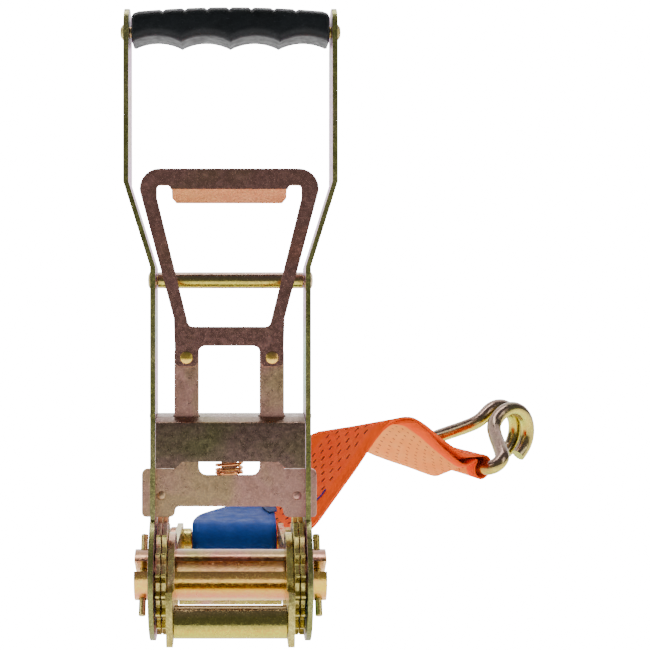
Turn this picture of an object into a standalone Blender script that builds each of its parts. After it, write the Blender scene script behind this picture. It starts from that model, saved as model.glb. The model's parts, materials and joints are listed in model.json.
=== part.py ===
"""A long-handled ratchet tensioner for 50 mm lashing webbing, standing on a level surface.

Metres, +Z up. The ratchet is modelled in its own frame: the spindle runs along X through the origin,
the handle rises along +Z and the base runs back along +Y. An empty then leans that frame back until the
handle's round ends and the base's rear end both touch the surface. The strap and its claw hook are
modelled as they lie, measured from the spindle's axis. The origin is at the bottom centre of the whole.
"""

from math import asin, cos, degrees, pi, radians, sin, tan

import bmesh
import bpy
from mathutils import Matrix, Vector

MM = 0.001
GAP = 0.3 * MM  # between faces that touch on the real tool

# Spindle, ratchet wheels and handle ends
SPINDLE_R = 12 * MM
SPINDLE_SLOT = 5 * MM
SPINDLE_HALF_LENGTH = 45.2 * MM
SLOT_ANGLE = 30  # degrees that the slot's front end points above the front
PIN_R = 1.75 * MM
PIN_HALF_LENGTH = 20 * MM
PIN_X = 41.4 * MM
TEETH = 18
WHEEL_R = 28 * MM
ROOT_R = 23.6 * MM
WHEEL_X = (30.6 * MM, 33.3 * MM)
WHEEL_T = 2.3 * MM
DISC_R = 30.5 * MM

# Handle
ARM_X = 36.35 * MM  # middle of an arm's thickness, below its bend
ARM_T = 2.5 * MM
ARM_HALF_WIDTH = 12.5 * MM
BEND_LOW, BEND_HIGH = 146 * MM, 186 * MM
SPREAD = 12.6 * MM  # how far the arms move apart over the bend
ROD_Z = 258 * MM
ROD_R = 2.6 * MM
CROSSBAR_Y, CROSSBAR_Z = 6 * MM, 140.3 * MM
CROSSBAR_R = 3.9 * MM
COVER_HALF_WIDTH = 34.8 * MM

# Drive pawl and release handle, which slide as one
PAWL_X = -0.6 * MM  # it rests to one side of its play
PAWL_Y = -4.9 * MM
PAWL_T = 3 * MM
PAWL_TIP = 28.3 * MM  # just clear of the teeth
LEG_X = 20.1 * MM

# Base
PLATE_X = 27.5 * MM
PLATE_T = 3 * MM
ANCHOR_Y = 92 * MM
REAR_R = 12 * MM
REAR_Z = -2 * MM
ANCHOR_R = 5 * MM
FRONT_TUBE = (-25.6 * MM, -16.5 * MM)
LOCK_Z = -7.5 * MM  # height of the lock pawl, in line with a gap between teeth

# The empty's lean, and where the spindle's axis stands
LEAN = asin((DISC_R - REAR_R + REAR_Z) / ANCHOR_Y)
STAND = Vector((-81.07 * MM, -135.66 * MM, DISC_R))

# Strap and hook, measured from the spindle's axis as they lie
WEB_T = 3.2 * MM
LOOP_X0, LOOP_X1 = -21 * MM, 25.6 * MM
HOOK_WIRE_R = 4.75 * MM
HOOK_BAR = Vector((154.8, 262.8, -20.9)) * MM
BAR_AXIS = Vector((-0.571, 0.82, -0.032)).normalized()
HOOK_UP = Vector((0.637, 0.468, 0.613))

COLOURS = {
    "zinc": (0.42, 0.38, 0.24, 1),
    "rose": (0.5, 0.4, 0.36, 1),
    "gold": (0.62, 0.52, 0.25, 1),
    "copper": (0.6, 0.33, 0.18, 1),
    "black": (0.02, 0.02, 0.025, 1),
    "orange": (0.9, 0.2, 0.03, 1),
    "blue": (0.01, 0.1, 0.4, 1),
}
SOFT = ("black", "orange", "blue")

# Local axes of a flat outline: facing along X, facing the front, and lying flat
SIDE = Matrix(((0, 0, 1), (1, 0, 0), (0, 1, 0))).to_4x4()
FRONT = Matrix(((1, 0, 0), (0, 0, -1), (0, 1, 0))).to_4x4()
FLAT = Matrix.Identity(4)


# ---- helpers ------------------------------------------------------------------------------


def new_collection(name):
    made = bpy.data.collections.new(name)
    bpy.context.scene.collection.children.link(made)
    return made


def new_material(name, colour):
    made = bpy.data.materials.new(name)
    made.use_nodes = True
    shader = made.node_tree.nodes["Principled BSDF"]
    shader.inputs["Base Color"].default_value = COLOURS[colour]
    shader.inputs["Metallic"].default_value = 0.0 if colour in SOFT else 1.0
    shader.inputs["Roughness"].default_value = 0.6 if colour in SOFT else 0.35
    return made


def add_object(name, mesh, colour, matrix, parent):
    """Links a part under its parent, at a place given in the parent's frame."""
    made = bpy.data.objects.new(name, mesh)
    PARTS.objects.link(made)
    mesh.materials.clear()
    mesh.materials.append(new_material(name + "_material", colour))
    made.parent = parent
    made.matrix_local = matrix
    return made


def smooth(mesh, sharp=35):
    mesh.shade_smooth()
    mesh.set_sharp_from_angle(angle=radians(sharp))


def arc(centre, radius, start, end, steps):
    """Points of an arc, angles in degrees, both ends included."""
    turns = [radians(start + (end - start) * i / steps) for i in range(steps + 1)]
    return [(centre[0] + radius * cos(a), centre[1] + radius * sin(a)) for a in turns]


def circle(centre, radius, steps=24):
    return arc(centre, radius, 0, 360 - 360 / steps, steps - 1)


def rectangle(x0, x1, y0, y1):
    return [(x0, y0), (x1, y0), (x1, y1), (x0, y1)]


def rounded(corners):
    """An outline from (x, y, corner radius), each corner replaced by an arc of its radius."""
    points = []
    for i, (x, y, radius) in enumerate(corners):
        here = Vector((x, y))
        if radius <= 0:
            points.append((x, y))
            continue
        before = (Vector(corners[i - 1][:2]) - here).normalized()
        after = (Vector(corners[(i + 1) % len(corners)][:2]) - here).normalized()
        half = before.angle(after) / 2
        reach = radius / tan(half)
        middle = here + (before + after).normalized() * radius / sin(half)
        first, last = here + before * reach - middle, here + after * reach - middle
        turn = first.angle_signed(last)
        steps = 6 if radius > 5 * MM else 3
        for k in range(steps + 1):
            spot = Vector(first)
            spot.rotate(Matrix.Rotation(-turn * k / steps, 2))
            points.append(tuple(middle + spot))
    return points


def mirrored(points):
    """A right-hand outline from bottom to top, closed by its mirror image in x = 0."""
    return points + [(-x, y) for x, y in reversed(points)]


def mesh_from_curve(curve):
    """A curve's solid as a welded mesh, with the curve removed."""
    guide = bpy.data.objects.new("guide", curve)
    PARTS.objects.link(guide)
    graph = bpy.context.evaluated_depsgraph_get()
    mesh = bpy.data.meshes.new_from_object(guide.evaluated_get(graph))
    bpy.data.objects.remove(guide)
    bpy.data.curves.remove(curve)
    shape = bmesh.new()
    shape.from_mesh(mesh)
    bmesh.ops.remove_doubles(shape, verts=shape.verts, dist=0.002 * MM)
    bmesh.ops.recalc_face_normals(shape, faces=shape.faces)
    shape.to_mesh(mesh)
    shape.free()
    return mesh


def sheet_mesh(outlines, thickness):
    """A flat sheet from an outline and its holes, centred on its thickness."""
    curve = bpy.data.curves.new("outline", "CURVE")
    curve.dimensions = "2D"
    curve.fill_mode = "BOTH"
    curve.extrude = thickness / 2
    for outline in outlines:
        spline = curve.splines.new("POLY")
        spline.points.add(len(outline) - 1)
        for point, (x, y) in zip(spline.points, outline):
            point.co = (x, y, 0, 1)
        spline.use_cyclic_u = True
    return mesh_from_curve(curve)


def sheet(name, outlines, thickness, axes, place, colour, parent):
    mesh = sheet_mesh(outlines, thickness)
    smooth(mesh)
    return add_object(name, mesh, colour, Matrix.Translation(place) @ axes, parent)


def wire_mesh(points, radius, rings=2):
    """A round wire along points, closed at its ends."""
    curve = bpy.data.curves.new("wire", "CURVE")
    curve.dimensions = "3D"
    curve.bevel_depth = radius
    curve.bevel_resolution = rings
    curve.use_fill_caps = True
    spline = curve.splines.new("POLY")
    spline.points.add(len(points) - 1)
    for point, place in zip(spline.points, points):
        point.co = (*place, 1)
    mesh = mesh_from_curve(curve)
    smooth(mesh)
    return mesh


def turned_mesh(profile, steps=24):
    """A solid of revolution about X, from (radius, x) points that run from its +X end to its -X end."""
    mesh = bpy.data.meshes.new("turned")
    edges = [(i, i + 1) for i in range(len(profile) - 1)]
    mesh.from_pydata([(r, 0, z) for r, z in profile], edges, [])
    guide = bpy.data.objects.new("guide", mesh)
    PARTS.objects.link(guide)
    screw = guide.modifiers.new("turn", "SCREW")
    screw.steps = steps
    screw.render_steps = steps
    screw.use_merge_vertices = True
    screw.merge_threshold = 0.002 * MM
    graph = bpy.context.evaluated_depsgraph_get()
    made = bpy.data.meshes.new_from_object(guide.evaluated_get(graph))
    bpy.data.objects.remove(guide)
    made.transform(Matrix.Rotation(pi / 2, 4, "Y"))
    smooth(made)
    return made


def turned(name, profile, place, colour, parent, steps=24):
    mesh = turned_mesh(profile, steps)
    return add_object(name, mesh, colour, Matrix.Translation(place), parent)


def rivet_profile(shank, reach, head, height):
    """A rivet or pin with a low domed head outside each end of its shank."""
    dome = [(0, height), (0.6 * head, 0.85 * height), (head, 0.3 * height), (head, 0)]
    top = [(r, reach + z) for r, z in dome] + [(shank, reach)]
    return top + [(r, -z) for r, z in reversed(top)]


def block_mesh(low, high):
    """A box between two corners."""
    shape = bmesh.new()
    size = [b - a for a, b in zip(low, high)]
    middle = [(a + b) / 2 for a, b in zip(low, high)]
    place = Matrix.Translation(middle) @ Matrix.Diagonal((*size, 1))
    bmesh.ops.create_cube(shape, size=1, matrix=place)
    made = bpy.data.meshes.new("block")
    shape.to_mesh(made)
    shape.free()
    return made


def cut(target, mesh, operation="DIFFERENCE"):
    """A Boolean with a helper given in the target's own axes."""
    tool = bpy.data.objects.new(target.name + "_tool", mesh)
    TOOLS.objects.link(tool)
    tool.parent = target
    tool.hide_render = True
    tool.display_type = "WIRE"
    modifier = target.modifiers.new(operation.lower(), "BOOLEAN")
    modifier.operation = operation
    modifier.object = tool


def empty(name, parent, place):
    made = bpy.data.objects.new(name, None)
    PARTS.objects.link(made)
    made.parent = parent
    made.location = place
    return made


def smooth_path(points, steps):
    """Points along a smooth curve that passes through the given ones."""
    ends = [2 * points[0] - points[1], *points, 2 * points[-1] - points[-2]]
    path = []
    for a, b, c, d in zip(ends, ends[1:], ends[2:], ends[3:]):
        for k in range(steps):
            t = k / steps
            path.append(
                0.5 * (2 * b + (c - a) * t + (2 * a - 5 * b + 4 * c - d) * t**2
                       + (3 * b - a - 3 * c + d) * t**3)
            )
    return path + [points[-1]]


# ---- handle -------------------------------------------------------------------------------


def arm_mesh(side):
    """One arm: a strip with a round end about the spindle, bent outwards and straight again."""
    neck = degrees(asin(ARM_HALF_WIDTH / DISC_R))
    outline = arc((0, 0), DISC_R, 90 + neck, 450 - neck, 40)
    outline += arc((0, ROD_Z), ARM_HALF_WIDTH - 1.5 * MM, 0, 180, 12)
    ears = rounded([
        (PAWL_Y - 1.9 * MM, 23 * MM, 1 * MM), (PAWL_Y + 1.9 * MM, 23 * MM, 1 * MM),
        (PAWL_Y + 1.9 * MM, 66 * MM, 1 * MM), (PAWL_Y - 1.9 * MM, 66 * MM, 1 * MM),
    ])
    holes = [
        circle((0, 0), SPINDLE_R + GAP, 32),
        ears,
        rectangle(3 * MM, 9 * MM, 73.8 * MM, 77 * MM),
        circle((CROSSBAR_Y, CROSSBAR_Z), 2.5 * MM, 16),
        circle((0, ROD_Z), ROD_R + GAP, 16),
    ]
    mesh = sheet_mesh([outline, *holes], ARM_T)
    mesh.transform(SIDE)
    shape = bmesh.new()
    shape.from_mesh(mesh)
    for height in (BEND_LOW, BEND_HIGH):
        whole = shape.verts[:] + shape.edges[:] + shape.faces[:]
        bmesh.ops.bisect_plane(shape, geom=whole, plane_co=(0, 0, height), plane_no=(0, 0, 1))
    for vert in shape.verts:
        along = (vert.co.z - BEND_LOW) / (BEND_HIGH - BEND_LOW)
        vert.co.x += side * (ARM_X + SPREAD * min(1, max(0, along)))
    bmesh.ops.triangulate(shape, faces=shape.faces)
    shape.to_mesh(mesh)
    shape.free()
    smooth(mesh, 12)
    return mesh


def grip_mesh():
    """A moulded bar with four finger hollows below and a gently crowned top."""
    half, scallop, low, high = 46.5 * MM, 23.25 * MM, 251.2 * MM, 268.2 * MM
    outline = []
    for i in range(4):
        left = -half + i * scallop
        for k in range(8):
            t = k / 8
            outline.append((left + t * scallop, low + 3.4 * MM * sin(pi * t) ** 0.8))
    outline.append((half, low))
    outline += [(half, high - 3.4 * MM), (half - 3 * MM, high - 2.4 * MM), (16 * MM, high - 0.3 * MM)]
    outline += [(-16 * MM, high - 0.3 * MM), (-half + 3 * MM, high - 2.4 * MM), (-half, high - 3.4 * MM)]
    mesh = sheet_mesh([outline], 24 * MM)
    mesh.transform(FRONT)
    return mesh


def cover_profile(bend, half_flange, drop, thickness):
    """The section of a sheet that runs up, turns back over a bend and ends in a flange."""
    outer = [(-bend, -drop)] + arc((0, 0), bend, 180, 90, 6) + [(half_flange, bend)]
    inside = bend - thickness
    inner = [(half_flange, inside)] + arc((0, 0), inside, 90, 180, 6) + [(-inside, -drop)]
    return outer + inner


def build_handle(parent):
    for side, name in ((-1, "handle_arm_left"), (1, "handle_arm_right")):
        add_object(name, arm_mesh(side), "zinc", FLAT, parent)

    grip = add_object("grip", grip_mesh(), "black", FLAT, parent)
    soft = grip.modifiers.new("edges", "BEVEL")
    soft.width = 4 * MM
    soft.segments = 2
    soft.limit_method = "ANGLE"
    soft.angle_limit = radians(60)
    bore = turned_mesh([(0, 60 * MM), (ROD_R + GAP, 60 * MM), (ROD_R + GAP, -60 * MM), (0, -60 * MM)], 16)
    bore.transform(Matrix.Translation((0, 0, ROD_Z)))
    cut(grip, bore)

    reach = ARM_X + SPREAD + ARM_T / 2 + GAP
    rod = rivet_profile(ROD_R, reach, 3.8 * MM, 2 * MM)
    turned("grip_rod", rod, (0, 0, ROD_Z), "zinc", parent, 16)

    half = ARM_X - ARM_T / 2 - GAP
    bore_r = 2.2 * MM
    tube = [(bore_r + GAP, half), (CROSSBAR_R, half), (CROSSBAR_R, -half), (bore_r + GAP, -half)]
    place = (0, CROSSBAR_Y, CROSSBAR_Z)
    turned("crossbar_tube", tube + tube[:1], place, "gold", parent, 16)
    reach = ARM_X + ARM_T / 2 + GAP
    turned("crossbar_rivet", rivet_profile(bore_r, reach, 4.6 * MM, 1.8 * MM), place, "zinc", parent, 16)

    section = rounded([
        (-9 * MM, -16.4 * MM, 0), (-9 * MM, 4.8 * MM, 2.5 * MM), (-0.6 * MM, 7.1 * MM, 5 * MM),
        (6 * MM, 7.8 * MM, 5 * MM), (15 * MM, 7.8 * MM, 0), (15 * MM, 5.8 * MM, 0),
        (6 * MM, 5.8 * MM, 5 * MM), (-0.2 * MM, 5.1 * MM, 5 * MM), (-7 * MM, 3.2 * MM, 1 * MM),
        (-7 * MM, -16.4 * MM, 0),
    ])
    cover = sheet("handle_cover_plate", [section], 2 * COVER_HALF_WIDTH, SIDE,
                  (0, -6 * MM, 68.6 * MM), "zinc", parent)
    tab = block_mesh((9.4 * MM, 6 * MM, -ARM_X - 2.4 * MM), (14.4 * MM, 7.6 * MM, ARM_X + 2.4 * MM))
    cut(cover, tab, "UNION")
    notch = sheet_mesh([mirrored([(26.6 * MM, -17.3 * MM), (22.3 * MM, -13.4 * MM)])], 8 * MM)
    notch.transform(Matrix.Translation((-9 * MM, 0, 0)) @ Matrix.Rotation(-pi / 2, 4, "Y"))
    cut(cover, notch)
    for side in (-1, 1):
        middle = PAWL_X + side * LEG_X
        slot = block_mesh((-0.9 * MM, 3 * MM, middle - 6.4 * MM), (3.1 * MM, 11 * MM, middle + 6.4 * MM))
        cut(cover, slot)


# ---- drive pawl and release handle --------------------------------------------------------


def coil(turns, radius, length, wire):
    """A helical spring's centreline along +Z, its last half turn at each end flat."""
    steps = 12
    points = []
    for i in range(turns * steps + 1):
        turn = i / steps
        rise = min(1, max(0, (turn - 0.5) / (turns - 1)))
        spin = 2 * pi * turn
        points.append((radius * cos(spin), radius * sin(spin), wire + (length - 2 * wire) * rise))
    return points


def build_drive_pawl(parent):
    """Plate, ring and rivets slide up and down the handle; the spring presses on the plate."""
    outline = rounded([
        (-25.5 * MM, PAWL_TIP, 2.5 * MM), (-25.5 * MM, 33.3 * MM, 2 * MM),
        (25.5 * MM, 33.3 * MM, 2 * MM), (25.5 * MM, PAWL_TIP, 2.5 * MM),
        (38.5 * MM, PAWL_TIP, 0), (41.2 * MM, PAWL_TIP, 2 * MM), (41.2 * MM, 51 * MM, 2.5 * MM),
        (LEG_X + 5.75 * MM, 51 * MM, 0), (LEG_X + 5.75 * MM, 107 * MM, 1 * MM),
        (LEG_X - 5.75 * MM, 107 * MM, 1 * MM), (LEG_X - 5.75 * MM, 52 * MM, 0),
        (14 * MM, 48 * MM, 3.5 * MM), (3.75 * MM, 48 * MM, 0), (3.75 * MM, 56.5 * MM, 1.5 * MM),
        (-3.75 * MM, 56.5 * MM, 1.5 * MM), (-3.75 * MM, 48 * MM, 0), (-14 * MM, 48 * MM, 3.5 * MM),
        (-LEG_X + 5.75 * MM, 52 * MM, 0), (-LEG_X + 5.75 * MM, 107 * MM, 1 * MM),
        (-LEG_X - 5.75 * MM, 107 * MM, 1 * MM), (-LEG_X - 5.75 * MM, 51 * MM, 0),
        (-41.2 * MM, 51 * MM, 2.5 * MM), (-41.2 * MM, PAWL_TIP, 2 * MM), (-38.5 * MM, PAWL_TIP, 0),
    ])
    rivet_z = 103.5 * MM
    holes = [circle((side * LEG_X, rivet_z), 1.8 * MM, 12) for side in (-1, 1)]
    sheet("drive_pawl_plate", [outline, *holes], PAWL_T, FRONT, (PAWL_X, PAWL_Y, 0), "rose", parent)

    ring_t = 2.2 * MM
    ring_y = PAWL_Y - PAWL_T / 2 - GAP - ring_t / 2
    outer = rounded([
        (-15.3 * MM, 99.5 * MM, 2 * MM), (-14 * MM, 109 * MM, 3 * MM), (14 * MM, 109 * MM, 3 * MM),
        (15.3 * MM, 99.5 * MM, 2 * MM), (25.3 * MM, 99.5 * MM, 2 * MM), (26 * MM, 122 * MM, 3 * MM),
        (42 * MM, 182 * MM, 6 * MM), (42 * MM, 192.2 * MM, 9.3 * MM),
        (-42 * MM, 192.2 * MM, 9.3 * MM), (-42 * MM, 182 * MM, 6 * MM),
        (-26 * MM, 122 * MM, 3 * MM), (-25.3 * MM, 99.5 * MM, 2 * MM),
    ])
    opening = rounded([
        (-19 * MM, 118 * MM, 2.5 * MM), (19 * MM, 118 * MM, 2.5 * MM), (34 * MM, 178.5 * MM, 2 * MM),
        (34 * MM, 184.4 * MM, 1.5 * MM), (28 * MM, 184.4 * MM, 1.5 * MM), (27.5 * MM, 182.6 * MM, 0),
        (-27.5 * MM, 182.6 * MM, 0), (-28 * MM, 184.4 * MM, 1.5 * MM), (-34 * MM, 184.4 * MM, 1.5 * MM),
        (-34 * MM, 178.5 * MM, 2 * MM),
    ])
    place = (PAWL_X, ring_y, 0)
    ring = sheet("release_handle", [outer, opening, *holes], ring_t, FRONT, place, "rose", parent)
    lip = sheet_mesh([mirrored([(25 * MM, -8.5 * MM), (27 * MM, -5.5 * MM), (27 * MM, 0.3 * MM)])], 2 * MM)
    lip.transform(Matrix.Translation((0, 183.4 * MM, 0)) @ Matrix.Rotation(radians(42), 4, "X"))
    cut(ring, lip, "UNION")

    half = (PAWL_T + ring_t + GAP) / 2
    middle = PAWL_Y + PAWL_T / 2 - half
    for side, word in ((-1, "left"), (1, "right")):
        rivet = turned_mesh(rivet_profile(1.5 * MM, half + GAP, 3 * MM, 1.1 * MM), 12)
        rivet.transform(Matrix.Rotation(pi / 2, 4, "Z"))
        place = Matrix.Translation((PAWL_X + side * LEG_X, middle, rivet_z))
        add_object(f"release_rivet_{word}", rivet, "gold", place, parent)


def build_springs(handle, base):
    wire = 0.7 * MM
    turns, radius = 7, 6 * MM
    drive = wire_mesh(coil(turns, radius, 22.8 * MM, wire), wire)
    drive.transform(Matrix.Translation((PAWL_X, PAWL_Y, 48.4 * MM)))
    add_object("drive_pawl_spring", drive, "copper", FLAT, handle)
    lock = wire_mesh(coil(turns, radius, 15.6 * MM, wire), wire)
    lock.transform(Matrix.Translation((0, 41.4 * MM, LOCK_Z)) @ Matrix.Rotation(-pi / 2, 4, "X"))
    add_object("lock_pawl_spring", lock, "copper", FLAT, base)


# ---- spindle ------------------------------------------------------------------------------


def wheel_outline():
    """Saw teeth, steep on the side that the pawls catch. Angles run from the front over the top."""
    pitch = 360 / TEETH
    profile = [(-1.2, WHEEL_R), (1.2, WHEEL_R), (2.0, ROOT_R), (12.0, ROOT_R)]
    points = []
    for k in range(TEETH):
        for turn, radius in profile:
            angle = radians(SLOT_ANGLE + k * pitch + turn)
            points.append((-radius * cos(angle), radius * sin(angle)))
    return points


def half_round(inset=0.0, steps=16):
    """The section of one spindle half, flat side down, made larger by the inset."""
    radius, flat = SPINDLE_R + inset, SPINDLE_SLOT / 2 - inset
    low = degrees(asin(flat / radius))
    return arc((0, 0), radius, low, 180 - low, steps)


def turn_points(points, turn):
    a = radians(turn)
    return [(x * cos(a) - y * sin(a), x * sin(a) + y * cos(a)) for x, y in points]


def pin_mesh(radius, reach):
    """A pin that crosses the spindle's slot squarely."""
    pin = turned_mesh([(0, reach), (radius, reach), (radius, -reach), (0, -reach)], 12)
    pin.transform(Matrix.Rotation(-radians(SLOT_ANGLE), 4, "X") @ Matrix.Rotation(-pi / 2, 4, "Y"))
    return pin


def build_spindle(parent):
    """Two half-rounds through four wheels, held by a pin across each end."""
    bore = PIN_R + GAP
    for turn, name in ((0, "spindle_half_upper"), (180, "spindle_half_lower")):
        outline = turn_points(half_round(), turn - SLOT_ANGLE)
        half = sheet(name, [outline], 2 * SPINDLE_HALF_LENGTH, SIDE, (0, 0, 0), "gold", parent)
        for side in (-1, 1):
            hole = pin_mesh(bore, 30 * MM)
            hole.transform(SIDE.inverted() @ Matrix.Translation((side * PIN_X, 0, 0)))
            cut(half, hole)
    holes = [turn_points(half_round(GAP), turn - SLOT_ANGLE) for turn in (0, 180)]
    for side, word in ((-1, "left"), (1, "right")):
        for x, where in zip(WHEEL_X, ("inner", "outer")):
            name = f"ratchet_wheel_{word}_{where}"
            sheet(name, [wheel_outline(), *holes], WHEEL_T, SIDE, (side * x, 0, 0), "zinc", parent)
        pin = pin_mesh(PIN_R, PIN_HALF_LENGTH)
        add_object(f"retaining_pin_{word}", pin, "zinc", Matrix.Translation((side * PIN_X, 0, 0)), parent)


# ---- base ---------------------------------------------------------------------------------


def base_outline():
    """Side plate: round head about the spindle, nose in front, rounded rear end about the anchor bolt."""
    head = 20 * MM
    points = arc((0, 0), head, 190, 36, 24)
    points += arc((ANCHOR_Y, REAR_Z), REAR_R, 78, -83, 16)
    points += arc((-30 * MM, -23 * MM), 4 * MM, 265, 190, 3)
    points += [(-37.3 * MM, -3.2 * MM), (-36.6 * MM, -1.1 * MM), (-35 * MM, -1.3 * MM)]
    return points


def build_base(parent):
    tube_y, tube_z = FRONT_TUBE
    plate_holes = [
        circle((0, 0), SPINDLE_R + GAP, 32),
        circle(FRONT_TUBE, 4 * MM + GAP, 16),
        circle((ANCHOR_Y, 0), ANCHOR_R + GAP, 16),
        rounded([(23 * MM, LOCK_Z - 1.8 * MM, 1 * MM), (52 * MM, LOCK_Z - 1.8 * MM, 1 * MM),
                 (52 * MM, LOCK_Z + 1.8 * MM, 1 * MM), (23 * MM, LOCK_Z + 1.8 * MM, 1 * MM)]),
        rectangle(57.7 * MM, 60.3 * MM, -9.3 * MM, -2.7 * MM),
    ]
    for side, name in ((-1, "base_plate_left"), (1, "base_plate_right")):
        sheet(name, [base_outline(), *plate_holes], PLATE_T, SIDE, (side * PLATE_X, 0, 0), "zinc", parent)

    inner = PLATE_X - PLATE_T / 2 - GAP
    outer = PLATE_X + PLATE_T / 2
    tube_r, bore = 7.5 * MM, 4 * MM + GAP
    tube = [(bore, inner), (tube_r, inner), (tube_r, -inner), (bore, -inner)]
    turned("front_spacer_tube", tube + tube[:1], (0, tube_y, tube_z), "gold", parent)
    rod = [(0, outer), (4 * MM, outer), (4 * MM, -outer), (0, -outer)]
    turned("front_rivet", rod, (0, tube_y, tube_z), "zinc", parent, 16)

    bolt = [(0, -outer - 4.3 * MM), (7 * MM, -outer - 4.3 * MM), (8 * MM, -outer - 3.3 * MM),
            (8 * MM, -outer - GAP), (ANCHOR_R, -outer - GAP), (ANCHOR_R, outer + 5.2 * MM),
            (0, outer + 5.2 * MM)]
    turned("anchor_bolt", bolt[::-1], (0, ANCHOR_Y, 0), "gold", parent)
    hexagon = [(8.2 * MM * cos(k * pi / 3), 8.2 * MM * sin(k * pi / 3)) for k in range(6)]
    sheet("anchor_nut", [hexagon, circle((0, 0), ANCHOR_R + GAP, 16)], 4.4 * MM, SIDE,
          (outer + GAP + 2.2 * MM, ANCHOR_Y, 0), "zinc", parent)
    half = 2.2 * MM
    ring = [(ANCHOR_R + GAP, half), (7.3 * MM, half), (7.3 * MM, -half), (ANCHOR_R + GAP, -half)]
    turned("anchor_collar", ring + ring[:1], (-23.5 * MM, ANCHOR_Y, 0), "zinc", parent, 20)

    seat = [(-x, -z) for x, z in cover_profile(6 * MM, 32 * MM, 12.5 * MM, 2 * MM)]
    cover = sheet("base_cover_plate", [seat], 2 * (inner - 0.2 * MM), SIDE,
                  (0, 54 * MM, -13.3 * MM), "zinc", parent)
    tab = block_mesh((4 * MM, 4.5 * MM, -outer + 0.4 * MM), (6 * MM, 10.1 * MM, outer - 0.4 * MM))
    cut(cover, tab, "UNION")


def build_lock_pawl(parent):
    """A plate whose ears reach the wheels through slots in the side plates."""
    tip, ear, back = 27.8 * MM, 34.6 * MM, 41 * MM
    outline = rounded([
        (-25.2 * MM, tip, 0), (-25.2 * MM, 35 * MM, 2 * MM), (25.2 * MM, 35 * MM, 2 * MM),
        (25.2 * MM, tip, 0), (ear, tip, 1 * MM), (ear, back, 1.5 * MM), (3.75 * MM, back, 0),
        (3.75 * MM, 49 * MM, 1.5 * MM), (-3.75 * MM, 49 * MM, 1.5 * MM), (-3.75 * MM, back, 0),
        (-ear, back, 1.5 * MM), (-ear, tip, 1 * MM),
    ])
    sheet("lock_pawl_plate", [outline], 3 * MM, FLAT, (0, 0, LOCK_Z), "rose", parent)


# ---- strap, label and hook ----------------------------------------------------------------


def ribbon_mesh(near_edge, far_edge, steps, across=4):
    """An open strip ruled between two smooth edges."""
    near, far = smooth_path(near_edge, steps), smooth_path(far_edge, steps)
    shape = bmesh.new()
    rows = []
    for a, b in zip(near, far):
        rows.append([shape.verts.new(a.lerp(b, k / across)) for k in range(across + 1)])
    for low, high in zip(rows, rows[1:]):
        for k in range(across):
            shape.faces.new((low[k], low[k + 1], high[k + 1], high[k]))
    made = bpy.data.meshes.new("ribbon")
    shape.to_mesh(made)
    shape.free()
    made.shade_smooth()
    return made


def thicken(target, thickness):
    solid = target.modifiers.new("thickness", "SOLIDIFY")
    solid.thickness = thickness
    solid.offset = 0
    solid.use_even_offset = True


def loop_outline(inner, thickness, length):
    """A sewn loop seen end on: round about its pin, tapering to two layers laid together."""
    outer = inner + thickness
    lean = degrees(asin((outer - thickness / 2) / length))
    ring = arc((0, 0), outer, 90 - lean, 270 + lean, 16)
    ring += [(length, -thickness / 2), (length + 4 * MM, -thickness / 2)]
    ring += [(length + 4 * MM, thickness / 2), (length, thickness / 2)]
    hole = arc((0, 0), inner, 90 - lean, 270 + lean, 14) + [(length - 3 * MM, 0)]
    return [ring, hole]


def build_strap(parent):
    near_edge = [Vector(p) * MM for p in (
        (25.4, 104, -19.6), (37, 124, -24.4), (49, 141, -25.4), (62, 158, -14.5), (76, 171, 0),
        (100.3, 185.5, 25), (111, 188, 25.5),
        (120, 192, 21), (134, 205, 8), (148, 218, -6), (158, 233, -18.5), (163.5, 239, -20.5),
    )]
    far_edge = [Vector(p) * MM for p in (
        (-21, 104, -19.6), (-14.2, 127.5, -17.5), (-4, 145, -17), (19, 171, -10), (37, 181, 2.5),
        (50.5, 184, 16), (72, 205, 9),
        (93, 228, -4), (113, 246, -15), (126, 260, -23), (130, 272, -24), (135.5, 279, -24),
    )]
    strap = add_object("webbing_strap", ribbon_mesh(near_edge, far_edge, 3), "orange", FLAT, parent)
    thicken(strap, WEB_T)
    pin = Vector((0, ANCHOR_Y * cos(LEAN), -ANCHOR_Y * sin(LEAN)))
    loop = sheet_mesh(loop_outline(ANCHOR_R + GAP, WEB_T, 13 * MM), LOOP_X1 - LOOP_X0)
    middle = pin + Vector(((LOOP_X0 + LOOP_X1) / 2, 0, 0))
    loop.transform(Matrix.Translation(middle) @ Matrix.Rotation(radians(-14), 4, "X") @ SIDE)
    cut(strap, loop, "UNION")
    back = Vector((0, 0, 1)).cross(BAR_AXIS).normalized()
    axes = Matrix((back, BAR_AXIS.cross(back), BAR_AXIS)).transposed()
    end = sheet_mesh(loop_outline(HOOK_WIRE_R + 2 * GAP, WEB_T, 13 * MM), 50 * MM)
    end.transform(Matrix.Translation(HOOK_BAR) @ axes.to_4x4())
    cut(strap, end, "UNION")


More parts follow.
